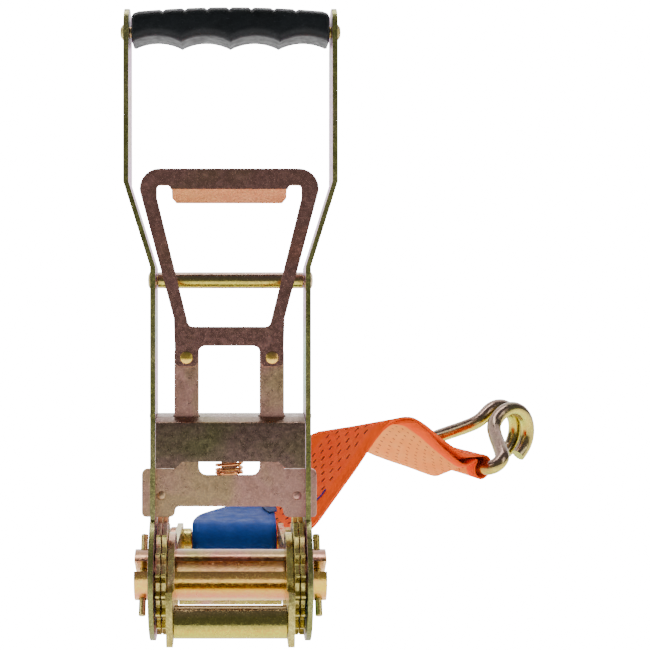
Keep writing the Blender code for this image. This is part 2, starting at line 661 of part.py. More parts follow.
def build_label(parent):
    """A printed tag, left blank, that lies over the strap's loop."""
    pin_y, pin_z = ANCHOR_Y * cos(LEAN), -ANCHOR_Y * sin(LEAN)
    bend = ANCHOR_R + GAP + WEB_T + 2.3 * MM
    rows = [(pin_y - bend * cos(radians(a)), pin_z + bend * sin(radians(a))) for a in (-5, 25, 55, 80)]
    near_edge = [Vector((24.9 * MM, y, z)) for y, z in rows]
    far_edge = [Vector((-20.8 * MM, y, z)) for y, z in rows]
    near_edge += [Vector(p) * MM for p in (
        (25, 100, -7.2), (25, 115, -9), (24, 130, -11.5), (23, 143, -12.6),
    )]
    far_edge += [Vector(p) * MM for p in (
        (-20, 100, -7.2), (-17, 115, -9.6), (-9, 129, -11.5), (3, 143, -12.6),
    )]
    label = add_object("strap_label", ribbon_mesh(near_edge, far_edge, 2), "blue", FLAT, parent)
    thicken(label, 0.8 * MM)


def hook_points():
    """The wire from one claw's tip, down its leg, through the bar and up to the other tip."""
    up = (HOOK_UP - HOOK_UP.dot(BAR_AXIS) * BAR_AXIS).normalized()
    out = BAR_AXIS.cross(up)
    claw_r, claw_h, half_bar, half_gap = 18.4 * MM, 43 * MM, 25.8 * MM, 5.8 * MM
    corner = 8 * MM
    side = [(half_gap, claw_h - 3 * MM, 2 * claw_r)]
    for k in range(13):
        turn = pi - pi * k / 12
        side.append((half_gap, claw_h + claw_r * sin(turn), claw_r - claw_r * cos(turn)))
    side += [(half_gap + 1 * MM, claw_h - 6 * MM, 0.0), (half_gap + 5 * MM, claw_h - 12 * MM, 0.0)]
    for k in range(7):
        turn = radians(120 - 20 * k)
        side.append((half_bar + corner * sin(turn), corner - corner * cos(turn), 0.0))
    wire = side + [(-b, h, n) for b, h, n in reversed(side)]
    return [b * BAR_AXIS + h * up + n * out for b, h, n in wire]


def build_hook(parent):
    add_object("double_hook", wire_mesh(hook_points(), HOOK_WIRE_R, 3), "gold", FLAT, parent)


# ---- the whole ----------------------------------------------------------------------------

for old in list(bpy.data.objects):
    bpy.data.objects.remove(old)
PARTS = new_collection("ratchet_tensioner")
TOOLS = new_collection("boolean_tools")

lying = empty("spindle_axis", None, STAND)
ratchet = empty("ratchet_frame", lying, (0, 0, 0))
ratchet.rotation_euler = (-LEAN, 0, 0)
handle_axis = empty("handle_axis", ratchet, (0, 0, 0))
spindle_axis = empty("spindle_turn", ratchet, (0, 0, 0))
hook_axis = empty("hook_axis", lying, HOOK_BAR)

build_handle(handle_axis)
build_drive_pawl(handle_axis)
build_springs(handle_axis, ratchet)
build_spindle(spindle_axis)
build_base(ratchet)
build_lock_pawl(ratchet)
build_strap(lying)
build_label(lying)
build_hook(hook_axis)
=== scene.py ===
"""A long-handled ratchet tensioner for lashing webbing, standing open on a white table.

The strap, sewn at both ends, runs back and to the right, folds over once and ends in a double hook.
"""

import json
from math import asin, cos, floor, pi, radians, sin

import bmesh
import bpy
from mathutils import Matrix, Vector
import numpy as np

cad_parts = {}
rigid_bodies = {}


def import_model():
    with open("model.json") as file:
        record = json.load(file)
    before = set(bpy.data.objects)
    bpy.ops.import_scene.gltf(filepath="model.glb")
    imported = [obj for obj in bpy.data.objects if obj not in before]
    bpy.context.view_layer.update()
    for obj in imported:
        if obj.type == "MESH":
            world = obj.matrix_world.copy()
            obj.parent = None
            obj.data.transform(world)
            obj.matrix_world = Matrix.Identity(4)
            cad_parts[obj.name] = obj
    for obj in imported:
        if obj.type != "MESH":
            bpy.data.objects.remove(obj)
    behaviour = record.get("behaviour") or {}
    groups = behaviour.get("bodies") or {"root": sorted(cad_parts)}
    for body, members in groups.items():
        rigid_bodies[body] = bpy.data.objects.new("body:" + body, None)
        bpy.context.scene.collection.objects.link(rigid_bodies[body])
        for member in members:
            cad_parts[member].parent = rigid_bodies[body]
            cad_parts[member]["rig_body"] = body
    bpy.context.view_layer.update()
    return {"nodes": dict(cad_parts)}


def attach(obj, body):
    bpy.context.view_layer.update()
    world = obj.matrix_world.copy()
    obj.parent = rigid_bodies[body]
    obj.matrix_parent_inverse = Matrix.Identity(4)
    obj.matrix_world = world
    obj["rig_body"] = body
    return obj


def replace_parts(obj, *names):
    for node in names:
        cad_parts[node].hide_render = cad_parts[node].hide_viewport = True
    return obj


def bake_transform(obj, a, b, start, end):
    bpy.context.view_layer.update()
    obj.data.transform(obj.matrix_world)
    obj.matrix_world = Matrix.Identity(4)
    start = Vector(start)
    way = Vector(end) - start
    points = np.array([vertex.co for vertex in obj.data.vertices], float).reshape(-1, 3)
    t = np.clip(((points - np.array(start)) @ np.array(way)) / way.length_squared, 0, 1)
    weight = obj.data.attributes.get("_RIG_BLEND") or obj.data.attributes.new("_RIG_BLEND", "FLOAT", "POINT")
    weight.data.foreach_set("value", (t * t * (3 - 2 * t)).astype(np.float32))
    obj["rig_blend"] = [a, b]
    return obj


MM = 0.001
STAND = Vector((-81.07 * MM, -135.66 * MM, 30.5 * MM))  # middle of the spindle's axis
LEAN = asin(16.5 / 92)  # how far the tensioner leans back on its round ends
RATCHET = Matrix.Translation(STAND) @ Matrix.Rotation(-LEAN, 4, "X")
TO_STAND = Matrix.Translation(STAND)  # the strap is laid out level, from the spindle's axis

ANCHOR_Y = 92 * MM  # from the spindle's axis to the anchor bolt, along the base
ANCHOR_R = 5 * MM
PIN_Y, PIN_Z = ANCHOR_Y * cos(LEAN), -ANCHOR_Y * sin(LEAN)
LOOP_X0, LOOP_X1 = -21 * MM, 25.6 * MM  # the strap's two edges on the anchor bolt

STRAP_W = 0.05
LAYER_T = 1.5 * MM
LABEL_T, FOLD_T = 0.7 * MM, 0.6 * MM
HOOK_WIRE_R = 4.75 * MM
HOOK_BAR = Vector((154.8, 262.8, -20.9)) * MM
BAR_AXIS = Vector((-0.571, 0.82, -0.032)).normalized()
HOOK_UP = Vector((0.637, 0.468, 0.613))  # from the bar towards the claws

PAWL_X, PAWL_Y = -0.6 * MM, -4.9 * MM  # where the drive pawl slides
SPRING_R, SPRING_WIRE_R = 6 * MM, 0.7 * MM
EDGE_R = 0.35 * MM  # rounding of the steel parts' edges

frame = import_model()
NODES = frame["nodes"]


# ---- materials ----------------------------------------------------------------------------


def tint(red, green, blue):
    """A colour given as it looks on a screen, 0 to 255."""
    channels = []
    for value in (red, green, blue):
        share = value / 255
        channels.append(share / 12.92 if share <= 0.04045 else ((share + 0.055) / 1.055) ** 2.4)
    return (*channels, 1.0)


class Look:
    """One material's node graph, laid out in the object's own coordinates in metres."""

    def __init__(self, name, metallic, roughness):
        self.material = bpy.data.materials.new(name)
        self.material.use_nodes = True
        self.tree = self.material.node_tree
        self.shader = self.tree.nodes["Principled BSDF"]
        self.put("Metallic", metallic)
        self.put("Roughness", roughness)
        own = self.add("ShaderNodeTexCoord").outputs
        self.place, self.facing = own["Object"], own["Normal"]

    def feed(self, socket, value):
        if isinstance(value, bpy.types.NodeSocket):
            self.tree.links.new(value, socket)
        else:
            socket.default_value = value

    def put(self, name, value):
        self.feed(self.shader.inputs[name], value)

    def add(self, kind, inputs=None, **settings):
        node = self.tree.nodes.new(kind)
        for key, value in settings.items():
            setattr(node, key, value)
        for key, value in (inputs or {}).items():
            self.feed(node.inputs[key], value)
        return node

    def noise(self, scale, detail=3, stretch=(1, 1, 1), distortion=0.0):
        mapping = self.add("ShaderNodeMapping", {"Vector": self.place, "Scale": stretch})
        inputs = {"Vector": mapping.outputs[0], "Scale": scale, "Detail": detail, "Distortion": distortion}
        return self.add("ShaderNodeTexNoise", inputs).outputs["Fac"]

    def ramp(self, factor, stops):
        node = self.add("ShaderNodeValToRGB", {"Fac": factor})
        elements = node.color_ramp.elements
        while len(elements) < len(stops):
            elements.new(0.5)
        for element, (position, colour) in zip(elements, stops):
            element.position = position
            element.color = colour if len(colour) == 4 else (*colour, 1)
        return node.outputs["Color"]

    def shades(self, factor, tones, low=0.33, high=0.67):
        """The given tones, spread evenly between two values of the factor."""
        step = (high - low) / (len(tones) - 1)
        return self.ramp(factor, [(low + step * k, tint(*tone)) for k, tone in enumerate(tones)])

    def mix(self, factor, first, second, blend="MIX"):
        node = self.add("ShaderNodeMix", data_type="RGBA", blend_type=blend)
        self.feed(node.inputs[0], factor)
        self.feed(node.inputs[6], first)
        self.feed(node.inputs[7], second)
        return node.outputs[2]

    def math(self, operation, first, second=0.0):
        node = self.add("ShaderNodeMath", operation=operation)
        self.feed(node.inputs[0], first)
        self.feed(node.inputs[1], second)
        return node.outputs[0]

    def spread(self, value, low, high, to_low=0.0, to_high=1.0):
        inputs = {"Value": value, "From Min": low, "From Max": high, "To Min": to_low, "To Max": to_high}
        return self.add("ShaderNodeMapRange", inputs).outputs[0]

    def part_of(self, vector, axis):
        return self.add("ShaderNodeSeparateXYZ", {"Vector": vector}).outputs[axis]

    def bump(self, height, strength, distance):
        node = self.add("ShaderNodeBump", {"Height": height, "Strength": strength, "Distance": distance})
        self.put("Normal", node.outputs[0])


def plated(name, tones, roughness, speckle, broad=26, side_reflection_tones=None, painted_reflection_tones=None):
    """Zinc-plated steel with a yellow passivation: broad shifts of hue and fine flecks.

    Side tones are a painted reflection on what faces left or right. The tones for a round part are
    a painted reflection too: painted shade and highlight from its underside to its top.
    """
    look = Look(name, 1.0, roughness)
    colour = look.shades(look.noise(broad, 4, distortion=0.5), tones)
    # Painted reflection: a round part's colour follows which way its faces point, as painted shade and
    # highlight from its underside to its top.
    if painted_reflection_tones:
        waver = look.math("MULTIPLY", look.math("SUBTRACT", look.noise(34, 3, (0.3, 1, 1)), 0.5), 0.5)
        facing = look.spread(look.math("ADD", look.part_of(look.facing, 2), waver), -1, 1)
        colour = look.mix(0.75, colour, look.shades(facing, painted_reflection_tones, 0, 1))
    # Painted reflection: faces turned left or right take their own tones.
    if side_reflection_tones:
        painted_side_reflection = look.shades(look.noise(15, 3, distortion=0.6), side_reflection_tones)
        sideways = look.spread(look.math("ABSOLUTE", look.part_of(look.facing, 0)), 0.6, 0.8)
        colour = look.mix(sideways, colour, painted_side_reflection)
    flecks = [(0.38, (0.42, 0.42, 0.42)), (0.5, (0.5, 0.5, 0.5)), (0.66, (0.8, 0.8, 0.74))]
    colour = look.mix(speckle, colour, look.ramp(look.noise(1100, 2), flecks), "OVERLAY")
    stains = [(0.35, (0.36, 0.36, 0.34)), (0.6, (0.55, 0.55, 0.55))]
    colour = look.mix(speckle * 0.7, colour, look.ramp(look.noise(170, 4, distortion=1.0), stains), "OVERLAY")
    look.put("Base Color", colour)
    look.put("Roughness", look.spread(look.noise(420, 3), 0.3, 0.7, roughness - 0.09, roughness + 0.12))
    grain = look.math("ADD", look.noise(1500, 2), look.math("MULTIPLY", look.noise(90, 2), 2.5))
    look.bump(grain, 0.16, 0.00025)
    return look.material


def moulded(name):
    """Near-black moulded plastic, slightly scuffed."""
    look = Look(name, 0.0, 0.42)
    look.put("Specular IOR Level", 0.22)
    colour = look.ramp(look.noise(60, 4), [(0.35, tint(12, 14, 16)), (0.65, tint(20, 23, 26))])
    scuff = look.ramp(look.noise(300, 4, (1, 4, 4), 0.8), [(0.62, (0, 0, 0)), (0.78, (1, 1, 1))])
    look.put("Base Color", look.mix(look.math("MULTIPLY", scuff, 0.25), colour, tint(74, 78, 82)))
    look.put("Roughness", look.spread(look.noise(240, 3), 0.3, 0.7, 0.34, 0.52))
    look.bump(look.noise(1400, 2), 0.2, 0.0001)
    return look.material


def woven(name, ground, pale, selvedge, mark, face=True):
    """Lashing webbing: fine ribs and rows of short dark marks.

    The face has a plain band along both edges, and the reverse along one, with smaller marks.
    """
    mark_gap, mark_pitch, rib_pitch, cord_pitch = 4.6 * MM, 8.2 * MM, 1.15 * MM, 0.9 * MM
    half_mark_w, half_mark_l = (0.1, 0.19) if face else (0.07, 0.15)  # as shares of gap and pitch
    band_start, band_full, marks_end = STRAP_W / 2 - 8.4 * MM, STRAP_W / 2 - 7 * MM, STRAP_W / 2 - 7.4 * MM
    look = Look(name, 0.0, 0.8)
    uv = look.add("ShaderNodeUVMap").outputs[0]
    across, along = look.part_of(uv, 0), look.part_of(uv, 1)
    column = look.math("DIVIDE", across, mark_gap)
    shift = look.math("MULTIPLY", look.math("MODULO", look.math("FLOOR", column), 3.0), 0.36)
    step = look.math("ADD", look.math("DIVIDE", along, mark_pitch), shift)
    from_middle = look.math("ABSOLUTE", look.math("SUBTRACT", look.math("FRACT", column), 0.5))
    from_centre = look.math("ABSOLUTE", look.math("SUBTRACT", look.math("FRACT", step), 0.5))
    thin = look.math("LESS_THAN", from_middle, half_mark_w)
    short = look.math("LESS_THAN", from_centre, half_mark_l)
    edge = look.math("SUBTRACT", STRAP_W / 2, across)
    if face:
        edge = look.math("ABSOLUTE", edge)
    inside = look.math("LESS_THAN", edge, marks_end)
    marks = look.math("MULTIPLY", look.math("MULTIPLY", thin, short), inside)
    rib = look.math("SINE", look.math("MULTIPLY", along, 2 * pi / rib_pitch))
    cord = look.math("SINE", look.math("MULTIPLY", across, 2 * pi / cord_pitch))
    weave = look.math("ADD", look.math("MULTIPLY", rib, cord), look.math("MULTIPLY", cord, 0.6))
    worn = look.noise(70, 4)
    colour = look.mix(look.spread(worn, 0.3, 0.7), tint(*ground), tint(*pale))
    colour = look.mix(look.spread(edge, band_start, band_full), colour, tint(*selvedge))
    shade_between_ribs = (0.3, 0.02, 0.0, 1)
    colour = look.mix(look.spread(weave, -1.6, 1.6, 0.0, 0.22), colour, shade_between_ribs)
    look.put("Base Color", look.mix(marks, colour, tint(*mark)))
    look.put("Specular IOR Level", 0.15)
    look.bump(look.math("ADD", weave, look.math("MULTIPLY", look.noise(900, 2), 1.5)), 0.5, 0.00018)
    return look.material


def coated_cloth(name, tones):
    """Smooth coated cloth or sewing thread. The tones are two grounds and a darker thread."""
    look = Look(name, 0.0, 0.62)
    look.put("Specular IOR Level", 0.18)
    colour = look.ramp(look.noise(55, 4), [(0.35, tint(*tones[0])), (0.65, tint(*tones[1]))])
    thread = look.noise(700, 2, (1, 6, 1))
    look.put("Base Color", look.mix(look.spread(thread, 0.4, 0.7, 0.0, 0.25), colour, tint(*tones[2])))
    look.put("Roughness", look.spread(look.noise(160, 3), 0.3, 0.7, 0.52, 0.74))
    look.bump(look.math("ADD", thread, look.math("MULTIPLY", look.noise(45, 3), 6.0)), 0.3, 0.0003)
    return look.material


# OLIVE's side tones are a painted reflection on its faces that point left or right.
OLIVE = plated(
    "plated_olive", ((126, 128, 72), (140, 140, 84), (158, 152, 104)), 0.32, 0.75,
    side_reflection_tones=((140, 178, 152), (188, 132, 170), (198, 146, 190), (186, 160, 132)),
)
STEEL = plated("plated_dark", ((176, 158, 84), (200, 186, 110), (214, 168, 150)), 0.28, 0.7)
ROSE = plated("plated_rose", ((186, 142, 124), (200, 152, 138), (190, 160, 122)), 0.34, 0.38)
# The second set of tones in RING, GOLD, TUBE and HOOK is a painted reflection: painted shade and highlight
# from a round part's underside to its top.
RING = plated(
    "plated_ring", ((158, 118, 104), (166, 120, 118), (148, 128, 96)), 0.26, 0.4,
    painted_reflection_tones=(
        (255, 180, 110), (240, 150, 90), (156, 116, 104), (162, 120, 110), (250, 150, 84), (255, 176, 104),
    ),
)
BROWN = plated("plated_brown", ((132, 116, 90), (136, 110, 100), (124, 116, 84)), 0.32, 0.5)
GOLD = plated(
    "plated_gold", ((240, 206, 84), (242, 160, 140), (206, 212, 90), (240, 196, 100)), 0.17, 0.3, 16,
    painted_reflection_tones=((226, 214, 84), (248, 160, 120), (252, 206, 60), (240, 196, 84), (120, 88, 66), (112, 88, 74)),
)
TUBE = plated(
    "plated_tube", ((206, 196, 96), (216, 190, 110)), 0.2, 0.45, 20,
    painted_reflection_tones=((230, 160, 120), (214, 220, 76), (234, 204, 66), (120, 116, 62), (96, 92, 56), (150, 118, 104)),
)
HOOK = plated(
    "plated_hook", ((160, 150, 84), (186, 150, 110), (150, 160, 86)), 0.2, 0.35, 40,
    painted_reflection_tones=((206, 150, 120), (196, 206, 84), (214, 196, 70), (132, 122, 76), (112, 92, 96), (126, 104, 106)),
)
COPPER = plated("plated_copper", ((214, 140, 84), (230, 170, 100), (206, 120, 90)), 0.24, 0.2, 60)
BLACK = moulded("grip_plastic")
ORANGE = woven("webbing_face", (255, 80, 26), (255, 98, 40), (255, 88, 4), (30, 6, 18))
PEACH = woven("webbing_reverse", (255, 154, 66), (255, 168, 84), (255, 88, 4), (96, 26, 16), False)
BLUE = coated_cloth("label_blue", ((0, 52, 132), (0, 62, 146), (0, 38, 108)))
# A darker copy of the label's blue, used on its folded end.
BLUE_FOLD_DARKER = coated_cloth("label_fold_blue", ((0, 34, 88), (0, 42, 100), (0, 28, 76)))
THREAD = coated_cloth("stitching_thread", ((58, 20, 96), (72, 28, 110), (44, 12, 80)))


# ---- helpers ------------------------------------------------------------------------------


def piece(name, mesh, material, body, matrix=None, sharp=35):
    """A named piece that rides on a body, shaded smooth but for its sharp edges."""
    if matrix is not None:
        mesh.transform(matrix)
    mesh.shade_smooth()
    mesh.set_sharp_from_angle(angle=radians(sharp))
    made = bpy.data.objects.new(name, mesh)
    bpy.context.scene.collection.objects.link(made)
    mesh.materials.append(material)
    if body:
        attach(made, body)
    return made


def soften(target):
    """Round the edges a little."""
    bevel = target.modifiers.new("edges", "BEVEL")
    bevel.width = EDGE_R
    bevel.segments = 2
    bevel.limit_method = "ANGLE"
    bevel.angle_limit = radians(30)
    bevel.harden_normals = True


def refine(node, material):
    """The CAD node again with clean faces, rounded edges and smooth curves."""
    shape = bmesh.new()
    shape.from_mesh(NODES[node].data)
    bmesh.ops.remove_doubles(shape, verts=shape.verts, dist=2e-6)
    bmesh.ops.dissolve_limit(shape, angle_limit=radians(0.4), verts=shape.verts, edges=shape.edges)
    mesh = bpy.data.meshes.new(node + "_finish")
    shape.to_mesh(mesh)
    shape.free()
    for extra in [a.name for a in mesh.attributes if a.name.startswith("custom_normal")]:
        mesh.attributes.remove(mesh.attributes[extra])
    made = piece(node + "_finish", mesh, material, NODES[node]["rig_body"])
    soften(made)
    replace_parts(made, node)


def mesh_from_curve(curve):
    """The curve's surface as a mesh. The curve itself is removed."""
    holder = bpy.data.objects.new("holder", curve)
    bpy.context.scene.collection.objects.link(holder)
    bpy.context.view_layer.update()
    mesh = bpy.data.meshes.new_from_object(holder)
    bpy.data.objects.remove(holder)
    bpy.data.curves.remove(curve)
    mesh.materials.clear()
    return mesh


def wire_mesh(points, radius, rings):
    """A round wire along the points, with closed ends."""
    curve = bpy.data.curves.new("wire", "CURVE")
    curve.dimensions = "3D"
    curve.bevel_depth = radius
    curve.bevel_resolution = rings
    curve.use_fill_caps = True
    spline = curve.splines.new("POLY")
    spline.points.add(len(points) - 1)
    for point, place in zip(spline.points, points):
        point.co = (*place, 1)
    return mesh_from_curve(curve)


def smooth_path(points, steps):
    """Points along a smooth curve through the given ones.

    Each span is weighted by the root of its length, so it doesn't overshoot where spacing changes.
    """
    shortest = 1e-6
    ends = [2 * points[0] - points[1], *points, 2 * points[-1] - points[-2]]
    path = []
    for a, b, c, d in zip(ends, ends[1:], ends[2:], ends[3:]):
        spans = ((a, b), (b, c), (c, d))
        before, here, after = (max(shortest, (q - p).length) ** 0.5 for p, q in spans)
        leave = here * ((b - a) / before - (c - a) / (before + here) + (c - b) / here)
        arrive = here * ((c - b) / here - (d - b) / (here + after) + (d - c) / after)
        for k in range(steps):
            t = k / steps
            path.append(
                (2 * t**3 - 3 * t**2 + 1) * b + (t**3 - 2 * t**2 + t) * leave
                + (3 * t**2 - 2 * t**3) * c + (t**3 - t**2) * arrive
            )
    return path + [points[-1]]


def ribbon(near, far, across, closed=False):
    """A strip ruled between two edges, and its length. Its UVs are in metres."""
    shape = bmesh.new()
    uv = shape.loops.layers.uv.new("UVMap")
    rows, lengths = [], [0.0]
    for a, b in zip(near, far):
        rows.append([shape.verts.new(a.lerp(b, k / across)) for k in range(across + 1)])
    middles = [(a + b) / 2 for a, b in zip(near, far)]
    count = len(rows)
    for i in range(count):
        lengths.append(lengths[-1] + (middles[(i + 1) % count] - middles[i]).length)
    width = max((a - b).length for a, b in zip(near, far))
    for i in range(count if closed else count - 1):
        low, high = rows[i], rows[(i + 1) % count]
        for k in range(across):
            face = shape.faces.new((low[k], low[k + 1], high[k + 1], high[k]))
            marks = ((k, i), (k + 1, i), (k + 1, i + 1), (k, i + 1))
            for loop, (column, row) in zip(face.loops, marks):
                loop[uv].uv = (width * column / across, lengths[row])
    mesh = bpy.data.meshes.new("ribbon")
    shape.to_mesh(mesh)
    shape.free()
    return mesh, lengths[count if closed else count - 1]


def solidify(target, thickness):
    """Give a sheet its thickness, half to each side."""
    solid = target.modifiers.new("thickness", "SOLIDIFY")
    solid.thickness = thickness
    solid.offset = 0
    solid.use_even_offset = True


# ---- steel parts --------------------------------------------------------------------------

FINISHES = {
    OLIVE: ("handle_arm_left", "handle_arm_right"),
    STEEL: (
        "base_plate_left", "base_plate_right", "base_cover_plate", "crossbar_rivet", "front_rivet",
        "anchor_nut", "anchor_collar", "grip_rod", "retaining_pin_left", "retaining_pin_right",
        "ratchet_wheel_left_inner", "ratchet_wheel_left_outer",
        "ratchet_wheel_right_inner", "ratchet_wheel_right_outer",
    ),
    ROSE: ("drive_pawl_plate", "lock_pawl_plate"),
    RING: ("release_handle",),
    BROWN: ("handle_cover_plate",),
    GOLD: (
        "spindle_half_upper", "spindle_half_lower", "anchor_bolt",
        "release_rivet_left", "release_rivet_right",
    ),
    TUBE: ("front_spacer_tube",),
    HOOK: ("crossbar_tube",),
}
for material, nodes in FINISHES.items():
    for node in nodes:
        refine(node, material)


def dome(radius, height):
    """A shallow pressed dome that faces -Y. Its back half lies inside the plate."""
    shape = bmesh.new()
    bmesh.ops.create_uvsphere(shape, u_segments=24, v_segments=16, radius=1)
    bmesh.ops.scale(shape, vec=(radius, height, radius), verts=shape.verts)
    mesh = bpy.data.meshes.new("dome")
    shape.to_mesh(mesh)
    shape.free()
    return mesh


DIMPLE_X, DIMPLE_Z, DIMPLE_R, DIMPLE_DEPTH = 32 * MM, 38.4 * MM, 2.1 * MM, 0.9 * MM
PAWL_FACE_Y = PAWL_Y - 1.45 * MM
for side, word in ((-1, "left"), (1, "right")):
    place = RATCHET @ Matrix.Translation((PAWL_X + side * DIMPLE_X, PAWL_FACE_Y, DIMPLE_Z))
    piece(f"pawl_dimple_{word}", dome(DIMPLE_R, DIMPLE_DEPTH), ROSE, "drive_pawl", place)


# ---- grip ---------------------------------------------------------------------------------


def grip_mesh():
    """A moulded bar: finger hollows below, a low crown with seven small notches on top."""
    half, step = 46.4 * MM, 0.4 * MM
    under, over, half_depth = 251.3 * MM, 268.1 * MM, 12 * MM
    finger_pitch, finger_depth = 23.2 * MM, 3.1 * MM
    crown, droop = 2.2 * MM, 0.9 * MM
    notch_pitch, notch_depth, half_notch = 10.4 * MM, 0.9 * MM, 1.3 * MM
    notch_shift, notched_to = 0.6 * MM, 36 * MM
    end_length, end_inset = 1.2 * MM, 0.8 * MM
    upper_r, lower_r = 4.5 * MM, 4 * MM
    count = int(2 * half / step)
    shape = bmesh.new()
    rows = []
    for i in range(count + 1):
        x = -half + 2 * half * i / count
        low = under + finger_depth * abs(sin(pi * (x + half) / finger_pitch)) ** 0.75
        high = over - crown * (x / half) ** 2 - droop * max(0, abs(x) / half - 0.93) / 0.07
        offset = (x + notch_shift) / notch_pitch + 0.5
        from_notch = abs(offset - floor(offset) - 0.5) * notch_pitch
        if abs(x) < notched_to:
            high -= notch_depth * max(0, 1 - from_notch / half_notch)
        end = min(1, (half - abs(x)) / end_length)
        inset = end_inset * (1 - end) ** 2
        corners = (
            (-half_depth + inset, high - inset, upper_r, 90),
            (-half_depth + inset, low + inset, lower_r, 180),
            (half_depth - inset, low + inset, lower_r, 270),
            (half_depth - inset, high - inset, upper_r, 0),
        )
        row = []
        for y, z, radius, start in corners:
            centre_y = y + radius if y < 0 else y - radius
            centre_z = z - radius if start in (90, 0) else z + radius
            for k in range(7):
                turn = radians(start + 15 * k)
                row.append(shape.verts.new((x, centre_y + radius * cos(turn), centre_z + radius * sin(turn))))
        rows.append(row)
    size = len(rows[0])
    for low_row, high_row in zip(rows, rows[1:]):
        for k in range(size):
            m = (k + 1) % size
            shape.faces.new((low_row[k], low_row[m], high_row[m], high_row[k]))
    shape.faces.new(rows[0][::-1])
    shape.faces.new(rows[-1])
    bmesh.ops.recalc_face_normals(shape, faces=shape.faces)
    mesh = bpy.data.meshes.new("grip")
    shape.to_mesh(mesh)
    shape.free()
    return mesh


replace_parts(piece("grip_moulding", grip_mesh(), BLACK, "handle", RATCHET, 50), "grip")


# ---- springs ------------------------------------------------------------------------------


def coil(turns, length, crowd):
    """A helical spring's centreline along +Z, with flat ends. A crowd over 1 closes its first turns."""
    steps = 24
    points = []
    for i in range(turns * steps + 1):
        turn = i / steps
        rise = min(1, max(0, (turn - 0.6) / (turns - 1.2))) ** crowd
        spin = 2 * pi * turn
        rise = SPRING_WIRE_R + (length - 2 * SPRING_WIRE_R) * rise
        points.append(Vector((SPRING_R * cos(spin), SPRING_R * sin(spin), rise)))
    return points


def sprung(name, node, turns, foot, length, crowd, turn, fixed_body, pawl):
    """A coil spring between its foot, on the pawl, and its head, on the fixed body."""
    seat = RATCHET @ Matrix.Translation(foot) @ turn
    mesh = wire_mesh(coil(turns, length, crowd), SPRING_WIRE_R, 3)
    made = piece(name, mesh, COPPER, None, seat)
    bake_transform(made, fixed_body, pawl, start=seat @ Vector((0, 0, length)), end=seat @ Vector((0, 0, 0)))
    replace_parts(made, node)


UPRIGHT, BACKWARDS = Matrix.Identity(4), Matrix.Rotation(-pi / 2, 4, "X")
DRIVE_FOOT, DRIVE_LENGTH = (PAWL_X, PAWL_Y, 48.4 * MM), 22.8 * MM
LOCK_FOOT, LOCK_LENGTH = (0, 41.4 * MM, -7.5 * MM), 15.6 * MM
sprung(
    "drive_spring_coil", "drive_pawl_spring", 9, DRIVE_FOOT, DRIVE_LENGTH, 1.25, UPRIGHT,
    "handle", "drive_pawl",
)
sprung(
    "lock_spring_coil", "lock_pawl_spring", 7, LOCK_FOOT, LOCK_LENGTH, 1.0, BACKWARDS,
    "base", "lock_pawl",
)


# ---- strap --------------------------------------------------------------------------------


def in_mm(*places):
    return [Vector(place) * MM for place in places]


def strap_run():
    """The rulings between the sewn ends, from the anchor bolt to the hook."""
    near = in_mm(
        (26, 111, -20.6), (37, 124, -24.2), (49, 141, -25.2), (62, 158, -14.5), (76, 171, 0),
        (98, 185.5, 24.6), (111, 188, 27), (120, 192, 22), (134, 205, 8), (150, 214, -5),
    )
    far = in_mm(
        (-19, 111, -19.6), (-14.2, 127.5, -17.5), (-4, 145, -17), (19, 171, -10), (37, 181, 2.5),
        (50.5, 184, 17.5), (72, 205, 10.5), (93, 228, -5), (118, 242, -16.5), (140, 252, -25),
    )
    return near, far


def strap_edges():
    """The two edges of one closed band, as pairs of points in four sections.

    It runs out along the top layer, round the hook, back underneath and round the anchor bolt.
    """
    near, far = strap_run()
    half_apart, sag_step, sag_from = 1.15 * MM, 0.9 * MM, 6
    top, bottom = [], []
    for i, (a, b) in enumerate(zip(near, far)):
        before, after = max(0, i - 1), min(len(near) - 1, i + 1)
        along = near[after] + far[after] - near[before] - far[before]
        widening = max(0, 1 - min(i, len(near) - 1 - i) / 2) * MM
        lift = (a - b).cross(along).normalized() * (half_apart + widening)
        top.append((a + lift, b + lift))
        sag = Vector((0, 0, max(0, i - sag_from) * sag_step))
        bottom.append((a - lift - sag, b - lift - sag / 2))
    bar_up = Vector((0, 0, 1))
    bar_back = bar_up.cross(BAR_AXIS).normalized()
    radius, half_width, turn_steps = HOOK_WIRE_R + 2.2 * MM + LAYER_T / 2, 24.2 * MM, 8
    near_sweep, far_sweep = (-half_width, 62, 286), (half_width, 100, 284)
    hook_turn = []
    for k in range(turn_steps + 1):
        pair = []
        for along_bar, start, sweep in (near_sweep, far_sweep):
            turn = radians(start - sweep * k / turn_steps)
            middle = HOOK_BAR - bar_back * radius * cos(turn) + bar_up * radius * sin(turn)
            pair.append(middle + BAR_AXIS * along_bar)
        hook_turn.append(tuple(pair))
    radius = ANCHOR_R + 0.5 * MM + LAYER_T / 2
    pin_turn = []
    for k in range(turn_steps + 1):
        turn = radians(-76 - 24.5 * k)
        middle = Vector((0, PIN_Y, PIN_Z)) + Vector((0, radius * cos(turn), radius * sin(turn)))
        pin_turn.append((middle + Vector((LOOP_X1, 0, 0)), middle + Vector((LOOP_X0, 0, 0))))
    return top, hook_turn, bottom[::-1], pin_turn


